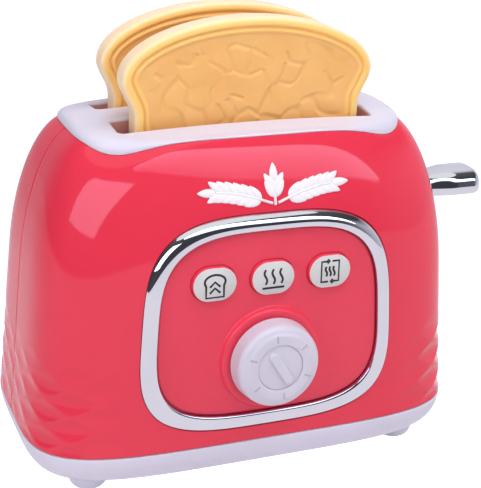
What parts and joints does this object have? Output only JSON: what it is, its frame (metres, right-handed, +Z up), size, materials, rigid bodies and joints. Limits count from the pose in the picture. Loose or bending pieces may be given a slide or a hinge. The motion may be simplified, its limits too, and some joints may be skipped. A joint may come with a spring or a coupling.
{
  "type": "toy pop-up toaster",
  "caption": "Toy pop-up toaster: rounded moulded body, crowned slot plate, sprung carriage with a side lever, lift-out toy bread, a dial that slides a latch, and push buttons.",
  "frame": {"origin": "on the floor under the middle of the bounding box, on the plane of the foot pads", "axes": "+X along the body towards the lever, the dial and buttons face -Y, +Z up"},
  "size_m": [0.182, 0.1012, 0.1571],
  "materials": {
    "red": "glossy moulded",
    "ivory": "satin moulded",
    "chrome": "plated",
    "button": "matt",
    "bread": "satin moulded",
    "inner": "matt",
    "steel": "plain"
  },
  "bodies": {
    "body": {"front_shell": "red", "rear_shell": "red", "top_plate": "ivory", "base_tray": "ivory", "foot_front_left": "ivory", "foot_front_right": "ivory", "foot_rear_left": "ivory", "foot_rear_right": "ivory", "bezel_ring": "chrome", "control_panel": "red", "button_spring_left": "steel", "button_spring_mid": "steel", "button_spring_right": "steel", "button_guide": "inner", "latch_spring": "steel", "latch_guide": "inner", "guide_rod_left": "steel", "guide_rod_right": "steel", "lift_spring_left": "steel", "lift_spring_right": "steel", "base_screws": "steel", "shell_screws": "steel", "panel_screws": "steel", "guide_screws": "steel"},
    "carriage": {"carriage": "inner", "lever": "chrome"},
    "bread_front": {"bread_front": "bread"},
    "bread_rear": {"bread_rear": "bread"},
    "knob": {"knob": "ivory", "knob_cap": "ivory", "knob_shaft": "inner", "release_cam": "inner", "cam_screw": "steel"},
    "latch": {"latch_slide": "inner"},
    "button_left": {"button_left": "button"},
    "button_mid": {"button_mid": "button"},
    "button_right": {"button_right": "button"}
  },
  "joints": [
    {"name": "carriage_slide", "type": "slide", "parent": "body", "child": "carriage", "axis": [0, 0, -1], "range_m": [0, 0.036], "stiffness_N_per_m": 100, "springref_m": -0.03, "deforming": ["lift_spring_left", "lift_spring_right"]},
    {"name": "bread_front_lift", "type": "slide", "parent": "carriage", "child": "bread_front", "axis": [0, 0, 1], "range_m": [0, 0.06]},
    {"name": "bread_rear_lift", "type": "slide", "parent": "carriage", "child": "bread_rear", "axis": [0, 0, 1], "range_m": [0, 0.06]},
    {"name": "knob_turn", "type": "hinge", "parent": "body", "child": "knob", "pos_m": [-0.011, -0.03975, 0.04761], "axis": [0, 0.9991, -0.0419], "range_deg": [0, 240]},
    {"name": "latch_slide", "type": "slide", "parent": "body", "child": "latch", "axis": [1, 0, 0], "range_m": [0, 0.0056], "deforming": ["latch_spring"]},
    {"name": "button_left_press", "type": "slide", "parent": "body", "child": "button_left", "axis": [0, 0.9991, -0.0419], "range_m": [0, 0.0012], "stiffness_N_per_m": 300, "springref_m": -0.0015, "deforming": ["button_spring_left"]},
    {"name": "button_mid_press", "type": "slide", "parent": "body", "child": "button_mid", "axis": [0, 0.9991, -0.0419], "range_m": [0, 0.0012], "stiffness_N_per_m": 300, "springref_m": -0.0015, "deforming": ["button_spring_mid"]},
    {"name": "button_right_press", "type": "slide", "parent": "body", "child": "button_right", "axis": [0, 0.9991, -0.0419], "range_m": [0, 0.0012], "stiffness_N_per_m": 300, "springref_m": -0.0015, "deforming": ["button_spring_right"]}
  ],
  "couplings": [
    {"joint": "latch_slide", "follows": "knob_turn", "m_per_rad": 0.001336}
  ]
}
